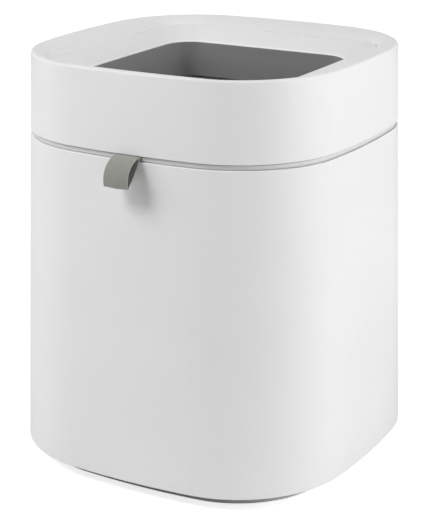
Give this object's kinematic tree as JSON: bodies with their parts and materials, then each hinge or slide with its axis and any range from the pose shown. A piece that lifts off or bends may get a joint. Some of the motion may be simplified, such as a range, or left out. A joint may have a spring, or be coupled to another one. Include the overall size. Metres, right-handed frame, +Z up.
{
  "type": "self-sealing waste bin",
  "caption": "Squircle open-topped waste bin with a dished mouth ring, a hinged head that gathers and seals its own bag, and a fabric pull tab.",
  "frame": {"origin": "centre of the foot ring's underside, on the floor", "axes": "+Z up; -Y front, the side with the pull tab; +X right, seen from above with the front at the bottom"},
  "size_m": [0.2952, 0.3051, 0.346],
  "materials": {
    "collar_grey": "satin, fine mould texture",
    "shell_white": "satin, fine mould texture",
    "chute_grey": "satin",
    "base_grey": "matte",
    "foot_rubber": "matte",
    "gasket_rubber": "matte",
    "inner_white": "matte",
    "inner_black": "matte",
    "steel": "brushed",
    "aluminium": "plain",
    "gear_nylon": "matte",
    "board_green": "satin",
    "battery_sleeve": "gloss film",
    "light_pipe": "clear",
    "bag_film": "thin film, pleated",
    "tab_fabric": "woven band, warm grey"
  },
  "bodies": {
    "drum": {"body_shell": "shell_white", "rear_grille": "shell_white", "body_collar": "collar_grey", "lid_gasket": "gasket_rubber", "inner_liner": "inner_white", "base_plate": "base_grey", "foot_ring": "foot_rubber", "base_screws": "steel", "fan_frame": "inner_black", "fan_motor": "steel", "fan_duct": "inner_white", "latch_striker": "steel", "hinge_bracket_left": "steel", "hinge_bracket_right": "steel", "hinge_pin_left": "steel", "hinge_pin_right": "steel"},
    "fan": {"fan_rotor": "inner_black"},
    "head": {"head_shell": "shell_white", "mechanism_tray": "inner_white", "bottom_cover": "inner_white", "heater_bar": "aluminium", "heater_block": "inner_black", "battery_pack": "battery_sleeve", "control_board": "board_green", "button_board": "board_green", "charge_socket": "inner_black", "status_light": "light_pipe", "cover_screws": "steel", "tray_screws": "steel", "park_switch": "inner_black", "latch_spring": "steel", "hinge_arm_left": "steel", "hinge_arm_right": "steel", "rack_left": "inner_black", "rack_right": "inner_black", "guide_rod_left": "steel", "guide_rod_right": "steel"},
    "button": {"power_button": "shell_white"},
    "ring": {"ring_cover": "shell_white", "bag_chute": "chute_grey"},
    "refill": {"cassette_ring": "inner_white", "film_pack": "bag_film"},
    "carriage": {"gather_bar": "inner_white", "seal_pad": "gasket_rubber", "gather_motor": "steel"},
    "shaft": {"drive_shaft": "steel", "shaft_gear": "gear_nylon", "pinion_left": "gear_nylon", "pinion_right": "gear_nylon"},
    "motor_gear": {"motor_pinion": "gear_nylon"},
    "latch": {"latch_slide": "inner_white", "pull_tab": "tab_fabric", "tab_clamp": "steel"}
  },
  "joints": [
    {"name": "head_hinge", "type": "hinge", "parent": "drum", "child": "head", "pos_m": [0, 0.14001, 0.27983], "axis": [-1, 0, 0], "range_deg": [0, 80]},
    {"name": "fan_spin", "type": "hinge", "parent": "drum", "child": "fan", "pos_m": [0, 0.12619, 0.062], "axis": [0, 1, 0], "continuous": true},
    {"name": "button_press", "type": "slide", "parent": "head", "child": "button", "axis": [0, -1, 0], "range_m": [0, 0.0012], "stiffness_N_per_m": 900, "springref_m": -0.0004},
    {"name": "ring_lift", "type": "slide", "parent": "head", "child": "ring", "axis": [0, 0, 1], "range_m": [0, 0.06]},
    {"name": "refill_lift", "type": "slide", "parent": "head", "child": "refill", "axis": [0, 0, 1], "range_m": [0, 0.027]},
    {"name": "gather_slide", "type": "slide", "parent": "head", "child": "carriage", "axis": [0, -1, 0], "range_m": [0, 0.172]},
    {"name": "shaft_turn", "type": "hinge", "parent": "carriage", "child": "shaft", "pos_m": [0, 0.098, 0.2921], "axis": [1, 0, 0], "range_deg": [0, 2054.1]},
    {"name": "motor_turn", "type": "hinge", "parent": "carriage", "child": "motor_gear", "pos_m": [0, 0.1076, 0.2921], "axis": [1, 0, 0], "range_deg": [-2054.1, 0]},
    {"name": "latch_pull", "type": "slide", "parent": "head", "child": "latch", "axis": [0, -1, 0], "range_m": [0, 0.003], "stiffness_N_per_m": 400, "springref_m": -0.002}
  ],
  "couplings": [
    {"joint": "refill_lift", "follows": "ring_lift", "ratio": 0.45},
    {"joint": "shaft_turn", "follows": "gather_slide", "rad_per_m": 208.33},
    {"joint": "motor_turn", "follows": "gather_slide", "rad_per_m": -208.33}
  ]
}
